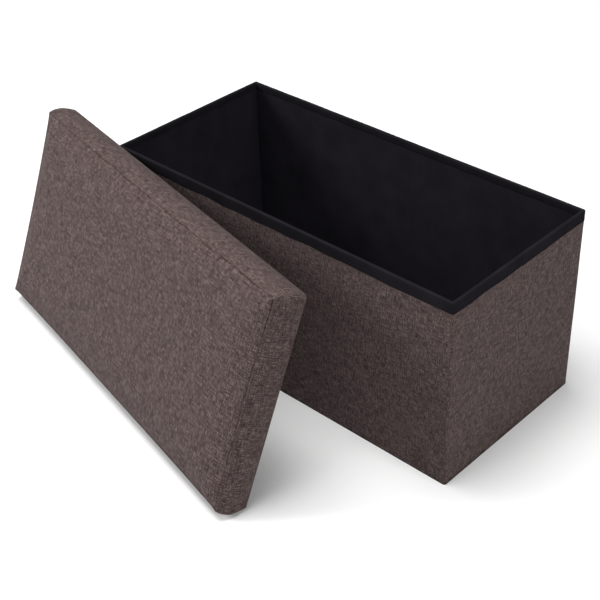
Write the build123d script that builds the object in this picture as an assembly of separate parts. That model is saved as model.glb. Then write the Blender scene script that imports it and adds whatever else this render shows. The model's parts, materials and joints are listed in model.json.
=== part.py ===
from build123d import *
import math
import os

# Folding storage bench: a fabric-covered box of hinged wall boards with a loose base board,
# and a padded cap lid that leans, on its long edge, against the front left corner of the box.
# Millimetres. Origin on the floor at the centre of the box's underside, +X along the box's
# length, -Y is the front, +Z is up.

# ---------------------------------------------------------------- driving dimensions
BOX_LENGTH = 744.0
BOX_DEPTH = 348.0
BOX_HEIGHT = 352.0

BINDING_THICK = 0.6        # black edge binding folded over the top of each wall
BINDING_OUTER_DROP = 20.0  # how far it hangs down outside
BINDING_INNER_DROP = 13.0  # and inside
COVER_THICK = 1.4          # linen with its thin wadding
BOARD_THICK = 3.8          # wall boards
LINING_THICK = 0.6         # black non-woven lining
CORNER_RADIUS = 5.6        # outer vertical corners of the box
BOARD_END_INSET = 5.0      # long boards stop short of the corners, which are soft
BOARD_CORNER_RADIUS = 2.0

CLOTH_THICK = 0.8          # bottom cloth, which lies on the floor
BASE_BOARD_THICK = 2.4
BASE_SLEEVE_THICK = 0.3    # non-woven sleeve round the base board
BASE_LIFT_GAP = 0.3        # base board above the bottom cloth
BASE_SIDE_GAP = 2.0        # base board to the linings
WALL_FOOT = 4.6            # lower edge of the wall boards
HEM_GAP = 0.3              # bottom hem below the walls

HINGE_GAP = 0.4            # between two panels at a corner
CREASE_GAP = 0.3           # from the middle crease to each half of an end

LID_LENGTH = 760.0
LID_DEPTH = 378.0
LID_THICK = 57.0
LID_RECESS = 26.0          # depth of the hollow under the lid
LID_FABRIC = 1.4
LID_LINING = 0.6
LID_RAIL_THICK = 4.5
LID_DECK_THICK = 5.0
LID_CORNER_RADIUS = 12.0
LID_YAW = -12.3            # turn of the leaning lid about the vertical
LID_LEAN = 19.8            # tilt of its underside from the vertical
LID_FOOT_X = 175.0         # right-hand end of the edge that it stands on
LID_GAP = 0.4              # underside to the box's corner

STAPLE_SPACING = 62.0
STAPLE_CROWN = 11.0
STAPLE_WIRE = 1.0
STAPLE_LEG = 12.0

# ---------------------------------------------------------------- derived dimensions
WALL_THICK = 2 * BINDING_THICK + COVER_THICK + BOARD_THICK + LINING_THICK
BOARD_TOP = BOX_HEIGHT - BINDING_THICK
INNER_DEPTH = BOX_DEPTH - 2 * WALL_THICK
HALF_END = INNER_DEPTH / 2 - HINGE_GAP - CREASE_GAP
BASE_BOTTOM = CLOTH_THICK + BASE_LIFT_GAP
BASE_TOP = BASE_BOTTOM + BASE_BOARD_THICK + 2 * BASE_SLEEVE_THICK

os.makedirs("parts", exist_ok=True)


def write(name, shape):
    """One STEP file for each node."""
    shape.label = name
    export_step(shape, f"parts/{name}.step")


def block(x0, x1, y0, y1, z0, z1):
    """A box between two corners."""
    size = (x1 - x0, y1 - y0, z1 - z0)
    centre = ((x0 + x1) / 2, (y0 + y1) / 2, (z0 + z1) / 2)
    return Pos(*centre) * Box(*size)


def round_upright(shape, radius, chosen=lambda edge: True):
    """Rounds the vertical edges that the test picks."""
    edges = [e for e in shape.edges().filter_by(Axis.Z) if chosen(e)]
    return fillet(edges, radius)


# ---------------------------------------------------------------- box walls
def wall_layer(length, inset, y1, z0, z1, wraps, end_inset=None, radius=None):
    """A wall's block, set in from its outer face and, by the same amount unless end_inset is
    given, from its ends. A wall that turns the corners has its two outer vertical edges rounded."""
    half = length / 2
    if wraps:
        half -= inset if end_inset is None else end_inset
    layer = block(-half, half, inset, y1, z0, z1)
    if wraps:
        rounding = CORNER_RADIUS - inset if radius is None else radius
        layer = round_upright(layer, rounding, lambda e: e.center().Y < inset + 0.1)
    return layer


def wall_pieces(length, wraps):
    """Board, cover, lining and edge binding of one wall, standing along X with its outer face
    at Y = 0 and its inner face at Y = WALL_THICK."""
    cover_in = BINDING_THICK
    board_in = cover_in + COVER_THICK
    board_back = board_in + BOARD_THICK
    lining_back = board_back + LINING_THICK
    end = length / 2 - (board_in if wraps else 0.0)

    board = wall_layer(length, board_in, board_back, WALL_FOOT, BOARD_TOP, wraps,
                       BOARD_END_INSET, BOARD_CORNER_RADIUS)
    cover = wall_layer(length, cover_in, board_back, WALL_FOOT, BOARD_TOP, wraps) - board
    lining = block(-end, end, board_back, lining_back, WALL_FOOT, BOARD_TOP)

    shell = wall_layer(length, 0.0, WALL_THICK, BOARD_TOP - BINDING_OUTER_DROP, BOX_HEIGHT, wraps)
    core = wall_layer(length, cover_in, lining_back, 0.0, BOARD_TOP, wraps)
    below = block(-length, length, board_back, 2 * WALL_THICK,
                  0.0, BOARD_TOP - BINDING_INNER_DROP)
    if wraps:
        # The lining stops where the wall turns the corner, so the binding closes that end.
        core = core - block(end, length, board_back, WALL_THICK, 0.0, BOX_HEIGHT)
        core = core - block(-length, -end, board_back, WALL_THICK, 0.0, BOX_HEIGHT)
    binding = shell - core - below
    return {"board": board, "cover": cover, "lining": lining, "binding": binding}


long_wall = wall_pieces(BOX_LENGTH, True)
half_wall = wall_pieces(HALF_END, False)

half_centre = CREASE_GAP + HALF_END / 2
wall_places = {
    "front": (long_wall, Location((0, -BOX_DEPTH / 2, 0))),
    "back": (long_wall, Location((0, BOX_DEPTH / 2, 0), (0, 0, 180))),
    "left_end_front_half": (half_wall, Location((-BOX_LENGTH / 2, -half_centre, 0), (0, 0, -90))),
    "left_end_back_half": (half_wall, Location((-BOX_LENGTH / 2, half_centre, 0), (0, 0, -90))),
    "right_end_front_half": (half_wall, Location((BOX_LENGTH / 2, -half_centre, 0), (0, 0, 90))),
    "right_end_back_half": (half_wall, Location((BOX_LENGTH / 2, half_centre, 0), (0, 0, 90))),
}
for wall_name, (pieces, place) in wall_places.items():
    for piece_name, shape in pieces.items():
        write(f"{wall_name}_{piece_name}", place * shape)


# ---------------------------------------------------------------- bottom and base board
def floor_layer(inset, z0, z1):
    """A flat layer of the box's outline, set in by inset, with the box's rounded corners."""
    x, y = BOX_LENGTH / 2 - inset, BOX_DEPTH / 2 - inset
    return round_upright(block(-x, x, -y, y, z0, z1), CORNER_RADIUS - inset)


write("bottom_cloth", floor_layer(BINDING_THICK, 0.0, CLOTH_THICK))
hem_top = WALL_FOOT - HEM_GAP
hem_inner = BINDING_THICK + COVER_THICK
write("bottom_hem", floor_layer(BINDING_THICK, CLOTH_THICK, hem_top)
      - floor_layer(hem_inner, CLOTH_THICK, hem_top))

base_x = BOX_LENGTH / 2 - WALL_THICK - BASE_SIDE_GAP
base_y = BOX_DEPTH / 2 - WALL_THICK - BASE_SIDE_GAP
board_bottom = BASE_BOTTOM + BASE_SLEEVE_THICK
base_board = block(-base_x, base_x, -base_y + BASE_SLEEVE_THICK, base_y - BASE_SLEEVE_THICK,
                   board_bottom, board_bottom + BASE_BOARD_THICK)
write("base_board", base_board)
write("base_board_sleeve",
      block(-base_x, base_x, -base_y, base_y, BASE_BOTTOM, BASE_TOP) - base_board)


# ---------------------------------------------------------------- lid
def lid_layer(inset, z0, z1):
    """A layer of the lid's rounded outline, set in by inset."""
    x, y = LID_LENGTH / 2 - inset, LID_DEPTH / 2 - inset
    return round_upright(block(-x, x, -y, y, z0, z1), LID_CORNER_RADIUS - inset)


def lid_side(name):
    """The quarter of the lid on one side, cut at 45 degrees through its corners."""
    x, y = LID_LENGTH / 2 + LID_THICK, LID_DEPTH / 2 + LID_THICK
    long_points = [(-x, -y), (x, -y), (x - y, 0), (y - x, 0)]
    short_points = [(-x, -y), (y - x, 0), (-x, y)]
    points = long_points if name in ("front", "back") else short_points
    wedge = extrude(make_face(Polyline(*points, close=True)), LID_THICK)
    return wedge.rotate(Axis.Z, 180) if name in ("back", "right") else wedge


def staples(deck_top):
    """U-shaped wire staples driven down through the deck board into the rails."""
    inset = LID_FABRIC + LID_RAIL_THICK / 2
    long_row = [(i * STAPLE_SPACING, side * (LID_DEPTH / 2 - inset), 0)
                for side in (-1, 1) for i in range(-5, 6)]
    short_row = [(side * (LID_LENGTH / 2 - inset), i * STAPLE_SPACING, 90)
                 for side in (-1, 1) for i in range(-2, 3)]
    half, wire = STAPLE_CROWN / 2, STAPLE_WIRE
    one = block(-half, half, -wire / 2, wire / 2, deck_top - wire, deck_top)
    for end in (-half, half - wire):
        one = one + block(end, end + wire, -wire / 2, wire / 2, deck_top - STAPLE_LEG, deck_top)
    return Compound(children=[Location((x, y, 0), (0, 0, turn)) * one
                              for x, y, turn in long_row + short_row])


def lid_pieces():
    """The lid lying flat: underside at Z = 0, length along X, its front edge towards -Y."""
    deck_bottom, deck_top = LID_RECESS, LID_RECESS + LID_DECK_THICK
    foam_top = LID_THICK - LID_FABRIC
    rail_x = LID_LENGTH / 2 - LID_FABRIC
    rail_y = LID_DEPTH / 2 - LID_FABRIC
    hollow_x = rail_x - LID_RAIL_THICK
    hollow_y = rail_y - LID_RAIL_THICK

    pieces = {}
    staple_group = staples(deck_top)
    pieces["lid_deck_board"] = lid_layer(LID_FABRIC, deck_bottom, deck_top) - staple_group
    core = lid_layer(LID_FABRIC, LID_LINING, deck_bottom) - staple_group
    pieces["lid_front_rail"] = core & block(-rail_x, rail_x, -rail_y, -hollow_y, 0, deck_bottom)
    pieces["lid_back_rail"] = core & block(-rail_x, rail_x, hollow_y, rail_y, 0, deck_bottom)
    pieces["lid_left_rail"] = core & block(-rail_x, -hollow_x, -hollow_y, hollow_y, 0, deck_bottom)
    pieces["lid_right_rail"] = core & block(hollow_x, rail_x, -hollow_y, hollow_y, 0, deck_bottom)
    pieces["lid_staples"] = staple_group
    pieces["lid_foam_pad"] = lid_layer(LID_FABRIC, deck_top, foam_top)
    pieces["lid_top_panel"] = lid_layer(0.0, foam_top, LID_THICK)

    ring = lid_layer(0.0, 0.0, foam_top) - lid_layer(LID_FABRIC, 0.0, foam_top)
    for side in ("front", "back", "left", "right"):
        pieces[f"lid_{side}_band"] = ring & lid_side(side)

    # The lining covers the deck's underside, the rails' inner faces and their lower edges.
    lining = lid_layer(LID_FABRIC, 0.0, LID_LINING)
    lining = lining + block(-hollow_x, hollow_x, -hollow_y, hollow_y, 0.0, deck_bottom)
    inner_x, inner_y = hollow_x - LID_LINING, hollow_y - LID_LINING
    pieces["lid_lining"] = lining - block(-inner_x, inner_x, -inner_y, inner_y,
                                          -1.0, deck_bottom - LID_LINING)
    return pieces


def lid_place():
    """Where the leaning lid stands: its front lower edge is on the floor, and its underside
    clears the box's rounded front left rim corner by LID_GAP."""
    yaw, lean = math.radians(LID_YAW), math.radians(LID_LEAN)
    normal = Vector(-math.sin(yaw) * math.cos(lean), math.cos(yaw) * math.cos(lean),
                    -math.sin(lean))
    centre = Vector(-BOX_LENGTH / 2 + CORNER_RADIUS, -BOX_DEPTH / 2 + CORNER_RADIUS, BOX_HEIGHT)
    reach = centre.dot(normal) - CORNER_RADIUS * math.cos(lean) - LID_GAP
    foot = Vector(LID_FOOT_X, (reach - LID_FOOT_X * normal.X) / normal.Y, 0)
    along = Vector(math.cos(yaw), math.sin(yaw), 0)
    upward = (-normal).cross(along)
    middle = foot - along * (LID_LENGTH / 2) + upward * (LID_DEPTH / 2)
    return Plane(origin=middle, x_dir=along, z_dir=-normal).location


lid_at = lid_place()
for node, shape in lid_pieces().items():
    write(node, lid_at * shape)
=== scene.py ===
import json
import math

import bpy
import numpy as np
from mathutils import Matrix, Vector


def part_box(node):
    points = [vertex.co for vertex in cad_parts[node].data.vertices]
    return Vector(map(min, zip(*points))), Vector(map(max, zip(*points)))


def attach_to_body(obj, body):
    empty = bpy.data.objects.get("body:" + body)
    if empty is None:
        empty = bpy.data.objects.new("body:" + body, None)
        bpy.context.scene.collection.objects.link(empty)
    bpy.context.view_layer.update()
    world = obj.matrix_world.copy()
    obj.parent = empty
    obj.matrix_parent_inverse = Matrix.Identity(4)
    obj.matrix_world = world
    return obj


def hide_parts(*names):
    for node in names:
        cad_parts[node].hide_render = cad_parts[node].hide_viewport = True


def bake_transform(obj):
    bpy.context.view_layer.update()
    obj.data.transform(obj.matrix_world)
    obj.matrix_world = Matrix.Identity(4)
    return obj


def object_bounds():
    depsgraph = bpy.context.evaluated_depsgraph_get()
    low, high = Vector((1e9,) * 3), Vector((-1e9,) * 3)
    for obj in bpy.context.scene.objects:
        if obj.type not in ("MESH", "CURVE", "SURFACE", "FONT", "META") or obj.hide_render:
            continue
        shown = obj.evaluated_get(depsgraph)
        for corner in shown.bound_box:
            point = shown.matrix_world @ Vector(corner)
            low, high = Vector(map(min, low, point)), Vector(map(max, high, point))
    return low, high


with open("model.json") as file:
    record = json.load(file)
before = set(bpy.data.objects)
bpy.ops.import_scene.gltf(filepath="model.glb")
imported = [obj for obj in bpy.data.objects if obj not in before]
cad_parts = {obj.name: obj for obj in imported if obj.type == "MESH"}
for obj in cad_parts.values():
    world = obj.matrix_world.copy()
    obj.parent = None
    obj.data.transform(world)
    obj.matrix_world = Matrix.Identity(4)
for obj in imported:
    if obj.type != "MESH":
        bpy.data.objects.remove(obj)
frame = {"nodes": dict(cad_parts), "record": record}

bl_info = {
    "name": "Storage Bench",
    "version": (1, 0, 0),
    "blender": (4, 5, 0),
    "location": "3D View > Sidebar > Bench",
    "description": "Upholstery, bindings and lining of a folding storage bench round its frame",
    "category": "Object",
}

# ---------------------------------------------------------------- sizes read from the frame
MM = 0.001
SHARP_ANGLE = 50.0      # degrees between faces that makes an edge sharp
CAD_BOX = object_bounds()
RIM_LOW, RIM_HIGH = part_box("front_binding")
HALF_X = RIM_HIGH.x
HALF_Y = -RIM_LOW.y
RIM_Z = RIM_HIGH.z
WALL = RIM_HIGH.y - RIM_LOW.y
FLAP_DROP = RIM_Z - RIM_LOW.z
FOOT_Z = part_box("front_board")[0].z
CLOTH_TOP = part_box("bottom_cloth")[1].z
HEM_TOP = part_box("bottom_hem")[1].z
BOARD_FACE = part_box("front_board")[0].y + HALF_Y
LINING_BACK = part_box("front_board")[1].y + HALF_Y
BOARD_TURN = 1.5 * MM   # along the outline, from a board's end to where the cloth bends
RUN_CELLS = 8           # least cells between two breaks of a run

LID_YAW = math.radians(-12.3)
LID_LEAN = math.radians(19.8)
LID_BANDS = ("lid_front_band", "lid_back_band", "lid_left_band", "lid_right_band")


def lid_axes():
    """Columns: along the lid, up its slope, and out of its padded face."""
    along = np.array([math.cos(LID_YAW), math.sin(LID_YAW), 0.0])
    level = math.cos(LID_LEAN)
    out = np.array([math.sin(LID_YAW) * level, -math.cos(LID_YAW) * level, math.sin(LID_LEAN)])
    return np.stack([along, np.cross(out, along), out], axis=1)


def node_points(*names):
    """Every vertex of some CAD nodes, as one array."""
    parts = []
    for name in names:
        mesh = frame["nodes"][name].data
        flat = np.empty(len(mesh.vertices) * 3)
        mesh.vertices.foreach_get("co", flat)
        parts.append(flat.reshape(-1, 3))
    return np.concatenate(parts)


LID_AXES = lid_axes()
LID_LOW, LID_HIGH = (f(node_points(*LID_BANDS) @ LID_AXES, axis=0) for f in (np.min, np.max))
LID_ORIGIN = LID_AXES @ np.array([*(LID_LOW + LID_HIGH)[:2] / 2, LID_LOW[2]])
LID_HALF_X, LID_HALF_Y = (LID_HIGH - LID_LOW)[:2] / 2
LID_RECESS = (node_points("lid_deck_board") @ LID_AXES).min(axis=0)[2] - LID_LOW[2]


# ---------------------------------------------------------------- settings a user may change
def length(name, millimetres, description):
    """A length setting, given in millimetres and stored in metres."""
    return bpy.props.FloatProperty(name=name, description=description, default=millimetres * MM,
                                   min=0.0, precision=5, unit="LENGTH")


def share(name, value, description):
    """A setting between 0 and 1."""
    return bpy.props.FloatProperty(name=name, description=description, default=value,
                                   min=0.0, max=1.0, subtype="FACTOR")


def colour(name, value, description):
    """A linear colour setting."""
    return bpy.props.FloatVectorProperty(name=name, description=description, default=value,
                                         size=3, min=0.0, max=1.0, subtype="COLOR")


class BenchCloth(bpy.types.PropertyGroup):
    """Colours and weave of the fabrics."""
    linen_dark: colour("Linen Dark", (0.0165, 0.0107, 0.0103), "Darkest threads of the linen")
    linen_mid: colour("Linen Middle", (0.0630, 0.0432, 0.0412), "Main colour of the linen")
    linen_light: colour("Linen Light", (0.160, 0.122, 0.116), "Lightest threads of the linen")
    felt: colour("Felt", (0.0158, 0.0140, 0.0185), "Black non-woven lining")
    binding: colour("Binding", (0.0116, 0.0106, 0.0128), "Black edge binding")
    thread_pitch: length("Thread Pitch", 0.90, "Distance between neighbouring threads")
    streak_length: length("Streak Length", 10.0, "Length of the lighter and darker thread runs")


class BenchBox(bpy.types.PropertyGroup):
    """Soft shape of the box's fabric."""
    corner_radius: length("Corner Radius", 4.5, "Rounding of the upright corners")
    cover_depth: length("Cover Depth", 0.85, "Linen surface behind the outermost face")
    ripple: length("Ripple", 0.25, "Height of the linen's gentle unevenness")
    crease_dip: length("Crease Dip", 0.7, "Depth of the fold line in the middle of each end")
    lap: length("Lap", 18.0, "How far a corner's cover runs on along the long wall")
    reach: length("Reach", 40.0, "How far a corner's cover runs on along the left end")
    slit: length("Slit", 0.05, "Half the gap where the halves of the right end meet")
    bend: length("Bend", 1.2, "Half the width of cloth that bends at the left fold line")
    binding_thick: length("Binding Thickness", 0.6, "Thickness of the edge binding")
    binding_wave: length("Binding Wave", 1.5, "Unevenness of the binding's lower edge")
    inner_drop: length("Inner Drop", 13.0, "How far the binding hangs down inside")
    stitch_pitch: length("Stitch Pitch", 4.6, "Distance between the binding's stitches")


class BenchLid(bpy.types.PropertyGroup):
    """Soft shape of the padded lid."""
    corner_radius: length("Corner Radius", 7.0, "Rounding of the lid's upright corners")
    crown: length("Crown", 4.5, "Rise of the top panel before it is filled")
    fill_cap: length("Fill Cap", 3.5, "Most that the filling may move the cloth")
    pull_long: length("Pull Long", 2.6, "How far the long edges pull in half way along")
    pull_short: length("Pull Short", 4.2, "How far the short edges pull in half way along")
    belly: length("Belly", 3.2, "How far the lower side bulges at its right end")
    seam_depth: length("Seam Depth", 1.4, "Depth of the tucked seams")
    pressure: bpy.props.FloatProperty(name="Pressure", description="Pressure of the filling",
                                      default=4.0, min=0.0)
    fill: share("Fill", 0.85, "How tightly the pad is filled")


class BenchStage(bpy.types.PropertyGroup):
    """Camera, light and floor."""
    camera_place: bpy.props.FloatVectorProperty(
        name="Camera Place", description="Where the camera stands",
        default=(1.2496, -1.3954, 1.4094), size=3, unit="LENGTH")
    azimuth: bpy.props.FloatProperty(name="Azimuth", description="Turn of the view from +Y",
                                     default=math.radians(44.06), unit="ROTATION")
    pitch: bpy.props.FloatProperty(name="Pitch", description="Tilt of the view below level",
                                   default=math.radians(33.63), unit="ROTATION")
    roll: bpy.props.FloatProperty(name="Roll", description="Roll about the line of sight",
                                  default=math.radians(-1.77), unit="ROTATION")
    lens: bpy.props.FloatProperty(name="Lens", description="Focal length in millimetres",
                                  default=76.43, min=1.0)
    shift_y: bpy.props.FloatProperty(name="Shift", description="Upward shift of the picture",
                                     default=-0.05)
    sky: bpy.props.FloatProperty(name="Sky", description="Strength of the all-round light",
                                 default=0.20, min=0.0)
    top_light: bpy.props.FloatProperty(name="Top Light", description="Power of the top softbox",
                                       default=290.0, min=0.0, unit="POWER")
    left_light: bpy.props.FloatProperty(name="Left Light", description="Power of the left softbox",
                                        default=215.0, min=0.0, unit="POWER")
    side_light: bpy.props.FloatProperty(name="Side Light", description="Power of the right softbox",
                                        default=130.0, min=0.0, unit="POWER")


SETTINGS = {"bench_cloth": BenchCloth, "bench_box": BenchBox, "bench_lid": BenchLid,
            "bench_stage": BenchStage}


# ---------------------------------------------------------------- surfaces
def ripple(u, v, seed, wavelength, waves=7):
    """A smooth seeded unevenness of about -1 to 1: the sum of sine waves that cross the two
    parameters in random directions, with lengths near the given one."""
    draw = np.random.default_rng(seed)
    angle, phase = draw.uniform(0, 2 * math.pi, (2, waves))
    number = 2 * math.pi / wavelength * draw.uniform(0.6, 1.7, waves)
    u, v = np.broadcast_arrays(u, v)
    run = u[..., None] * np.cos(angle) + v[..., None] * np.sin(angle)
    return np.sin(number * run + phase).sum(axis=-1) / waves ** 0.5 / 1.3


def bump_at(distance, width):
    """A bell curve: 1 at no distance, falling off over the width."""
    return np.exp(-(distance / width) ** 2)


def spread(breaks, step, least):
    """Parameter values that run through the breaks, evenly spaced within each interval, no
    further apart than step and with at least so many cells."""
    runs = [np.linspace(a, b, max(least, math.ceil((b - a) / step)) + 1)[:-1]
            for a, b in zip(breaks, breaks[1:])]
    return np.concatenate(runs + [np.array([breaks[-1]])])


def grid_quads(index, wrap=False):
    """Quads between neighbours in a table of point numbers; wrap joins its last column to its
    first."""
    right = np.roll(index, -1, axis=1)
    corners = np.stack([index[:-1], right[:-1], right[1:], index[1:]], axis=-1)
    return (corners if wrap else corners[:, :-1]).reshape(-1, 4)


def make_object(name, points, quads, weave=None):
    """A mesh object of quads. weave is a map in metres for each point, on which the cloth's
    pattern lies."""
    mesh = bpy.data.meshes.new(name)
    mesh.from_pydata(points.tolist(), [], quads.tolist())
    mesh.validate()
    if weave is not None:
        corner = np.empty(len(mesh.loops), dtype=np.int64)
        mesh.loops.foreach_get("vertex_index", corner)
        layer = mesh.uv_layers.new(name="weave")
        layer.data.foreach_set("uv", weave[corner].astype(np.float32).ravel())
    mesh.shade_smooth()
    mesh.set_sharp_from_angle(angle=math.radians(SHARP_ANGLE))
    made = bpy.data.objects.new(name, mesh)
    bpy.context.scene.collection.objects.link(made)
    return made


def slab(outer, inner, weave):
    """A thin closed sheet between two grids of the same size: the outer one, the inner one
    turned round, and a border strip that joins their edges. Returns points, quads and map."""
    rows, columns = outer.shape[:2]
    index = np.arange(rows * columns).reshape(rows, columns)
    edge = np.concatenate([index[0, :-1], index[:-1, -1], index[-1, :0:-1], index[:0:-1, 0]])
    after = np.roll(edge, -1)
    back = rows * columns
    border = np.stack([after, edge, edge + back, after + back], axis=-1)
    front = grid_quads(index)
    quads = np.concatenate([front, front[:, ::-1] + back, border])
    points = np.concatenate([outer.reshape(-1, 3), inner.reshape(-1, 3)])
    return points, quads, np.tile(weave.reshape(-1, 2), (2, 1))


def join(*parts):
    """Several (points, quads, map) sets as one."""
    offsets = np.cumsum([0] + [len(p[0]) for p in parts[:-1]])
    return (np.concatenate([p[0] for p in parts]),
            np.concatenate([p[1] + n for p, n in zip(parts, offsets)]),
            np.concatenate([p[2] for p in parts]))


class Outline:
    """The box's plan outline: straight sides joined by round corners, walked once round,
    counter-clockwise, from the fold line of the right end by way of the back."""

    def __init__(self, half_x, half_y, radius):
        side, front, turn = half_y - radius, 2 * (half_x - radius), radius * math.pi / 2
        runs = [(side, 0), (turn, 1), (front, 0), (turn, 1), (2 * side, 0), (turn, 1),
                (front, 0), (turn, 1), (side, 0)]
        self.half, self.radius = np.array([half_x, half_y]), radius
        self.ends = np.cumsum([0.0] + [run for run, _ in runs])
        self.left = (self.ends[4] + self.ends[5]) / 2
        self.bend = np.array([b / radius for _, b in runs])
        self.heading = np.cumsum([math.pi / 2] + [run * b / radius for run, b in runs[:-1]])
        self.start = np.zeros((len(runs), 2))
        self.start[0] = (half_x, 0.0)
        for i in range(1, len(runs)):
            self.start[i] = self.walk(self.ends[i:i + 1], np.array([i - 1]))[0][0]

    def walk(self, s, i):
        """Point and outward normal at distance s, on run i: a straight line, or an arc about
        the point one radius to the left of the run's start."""
        t = s - self.ends[i]
        first = self.heading[i]
        now = first + t * self.bend[i]
        ahead = np.stack([np.cos(first), np.sin(first)], axis=-1) * t[:, None]
        arc = np.stack([np.sin(now) - np.sin(first), np.cos(first) - np.cos(now)], axis=-1)
        step = np.where(self.bend[i][:, None] > 0, arc * self.radius, ahead)
        return self.start[i] + step, np.stack([np.sin(now), -np.cos(now)], axis=-1)

    def at(self, s):
        """Point and outward normal at each distance s round the outline."""
        run = np.clip(np.searchsorted(self.ends, s, side="right") - 1, 0, len(self.bend) - 1)
        return self.walk(s, run)

    def surface(self, s, depth, z):
        """Points that stand above the outline at s, set in by depth, at height z: the corner
        centres, drawn in where the depth is more than the corner radius, plus the normal
        times what is left of the radius. depth and z are tables with a column for each s."""
        point, normal = self.at(s)
        centre = point - normal * self.radius
        left = np.maximum(self.radius - depth, 0.6 * MM)[..., None]
        drawn = (self.half - depth[..., None] - left) / (self.half - self.radius)
        plan = centre[None] * drawn + normal[None] * left
        return np.concatenate([plan, np.broadcast_to(z, depth.shape)[..., None]], axis=-1)


# ---------------------------------------------------------------- materials
def wire(tree, kind, inputs=None, **settings):
    """Adds a shader node. Each input is a value, or the output that is linked to it."""
    made = tree.nodes.new(kind)
    for name, value in settings.items():
        setattr(made, name, value)
    for key, value in (inputs or {}).items():
        if isinstance(value, bpy.types.NodeSocket):
            tree.links.new(value, made.inputs[key])
        else:
            made.inputs[key].default_value = value
    return made


def new_material(name, roughness, sheen=0.0, specular=0.3, base=(0.5, 0.5, 0.5)):
    """A material with its shader, ready for colour and bump to be linked."""
    material = bpy.data.materials.new(name)
    material.use_nodes = True
    tree = material.node_tree
    shader = tree.nodes["Principled BSDF"]
    shader.inputs["Base Color"].default_value = (*base, 1.0)
    shader.inputs["Roughness"].default_value = roughness
    shader.inputs["Specular IOR Level"].default_value = specular
    shader.inputs["Sheen Weight"].default_value = sheen
    shader.inputs["Sheen Roughness"].default_value = 0.5
    material.diffuse_color = (*base, 1.0)
    return material, tree, shader


def scaled_noise(tree, place, scale, detail=3.0, roughness=0.6):
    """Noise on coordinates in metres, with its own number of cells a metre on each axis."""
    mapped = wire(tree, "ShaderNodeMapping", {"Vector": place, "Scale": scale})
    return wire(tree, "ShaderNodeTexNoise", {"Vector": mapped.outputs[0], "Scale": 1.0,
                                             "Detail": detail, "Roughness": roughness}).outputs[0]


def maths(tree, operation, first, second=0.0):
    """One arithmetic node."""
    return wire(tree, "ShaderNodeMath", {0: first, 1: second}, operation=operation).outputs[0]


def add_bump(tree, shader, height, distance, strength=1.0):
    """Lets a height in units of distance, in metres, tilt the shaded surface."""
    bump = wire(tree, "ShaderNodeBump", {"Height": height, "Distance": distance,
                                         "Strength": strength})
    tree.links.new(bump.outputs[0], shader.inputs["Normal"])


def linen_material(name, cloth):
    """Heathered linen: long thin noise cells along the warp and along the weft are added to
    one streak value, which a ramp turns into thread colours; plain weave is the product of a
    sine across each thread direction."""
    material, tree, shader = new_material(name, 0.92, sheen=0.03, specular=0.08,
                                          base=cloth.linen_mid)
    place = wire(tree, "ShaderNodeUVMap", uv_map="weave").outputs[0]
    thin, long = 1.0 / cloth.thread_pitch, 1.0 / cloth.streak_length
    warp = scaled_noise(tree, place, (thin, long, 1.0), 2.0)
    weft = scaled_noise(tree, place, (long * 0.9, thin, 1.0), 2.0)
    warp_slub = scaled_noise(tree, place, (thin * 0.42, long * 0.28, 1.0), 2.0)
    weft_slub = scaled_noise(tree, place, (long * 0.28, thin * 0.42, 1.0), 2.0)
    fleck = scaled_noise(tree, place, (thin * 0.45, thin * 0.3, 1.0), 3.0, 0.75)
    cloud = scaled_noise(tree, place, (34.0, 48.0, 1.0), 2.0)
    shares = ((warp, 0.33), (weft, 0.31), (warp_slub, 0.14), (weft_slub, 0.14),
              (fleck, 0.04), (cloud, 0.04))
    tone = None
    for value, weight in shares:
        part = maths(tree, "MULTIPLY", value, weight)
        tone = part if tone is None else maths(tree, "ADD", tone, part)
    ramp = wire(tree, "ShaderNodeValToRGB", {"Fac": tone})
    stops = [(0.42, cloth.linen_dark), (0.50, cloth.linen_mid), (0.59, cloth.linen_light)]
    while len(ramp.color_ramp.elements) < len(stops):
        ramp.color_ramp.elements.new(0.5)
    for element, (position, value) in zip(ramp.color_ramp.elements, stops):
        element.position = position
        element.color = (*value, 1.0)
    tree.links.new(ramp.outputs[0], shader.inputs["Base Color"])

    split = wire(tree, "ShaderNodeSeparateXYZ", {0: place})
    turns = math.pi / cloth.thread_pitch
    across = maths(tree, "SINE", maths(tree, "MULTIPLY", split.outputs[0], turns))
    down = maths(tree, "SINE", maths(tree, "MULTIPLY", split.outputs[1], turns))
    weave = maths(tree, "ADD", maths(tree, "MULTIPLY", across, down),
                  maths(tree, "MULTIPLY", tone, 3.0))
    add_bump(tree, shader, weave, 0.16 * MM, 0.8)
    return material


def felt_material(name, base, gloss, seed_shift):
    """Black non-woven cloth: fine matted fibres and soft patches, on object coordinates."""
    material, tree, shader = new_material(name, gloss, specular=0.0, base=base)
    place = wire(tree, "ShaderNodeTexCoord").outputs["Object"]
    moved = wire(tree, "ShaderNodeMapping", {"Vector": place, "Location": (seed_shift, 0, 0)})
    fibre = scaled_noise(tree, moved.outputs[0], (900.0, 900.0, 700.0), 4.0, 0.7)
    patch = scaled_noise(tree, moved.outputs[0], (22.0, 22.0, 16.0), 3.0)
    tone = maths(tree, "ADD", maths(tree, "MULTIPLY", fibre, 0.45),
                 maths(tree, "MULTIPLY", patch, 0.75))
    low, high = (tuple(c * k for c in base) for k in (0.80, 1.22))
    ramp = wire(tree, "ShaderNodeValToRGB", {"Fac": tone})
    ramp.color_ramp.elements[0].position, ramp.color_ramp.elements[1].position = 0.4, 0.8
    ramp.color_ramp.elements[0].color = (*low, 1.0)
    ramp.color_ramp.elements[1].color = (*high, 1.0)
    tree.links.new(ramp.outputs[0], shader.inputs["Base Color"])
    add_bump(tree, shader, tone, 0.35 * MM, 0.7)
    return material


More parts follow.
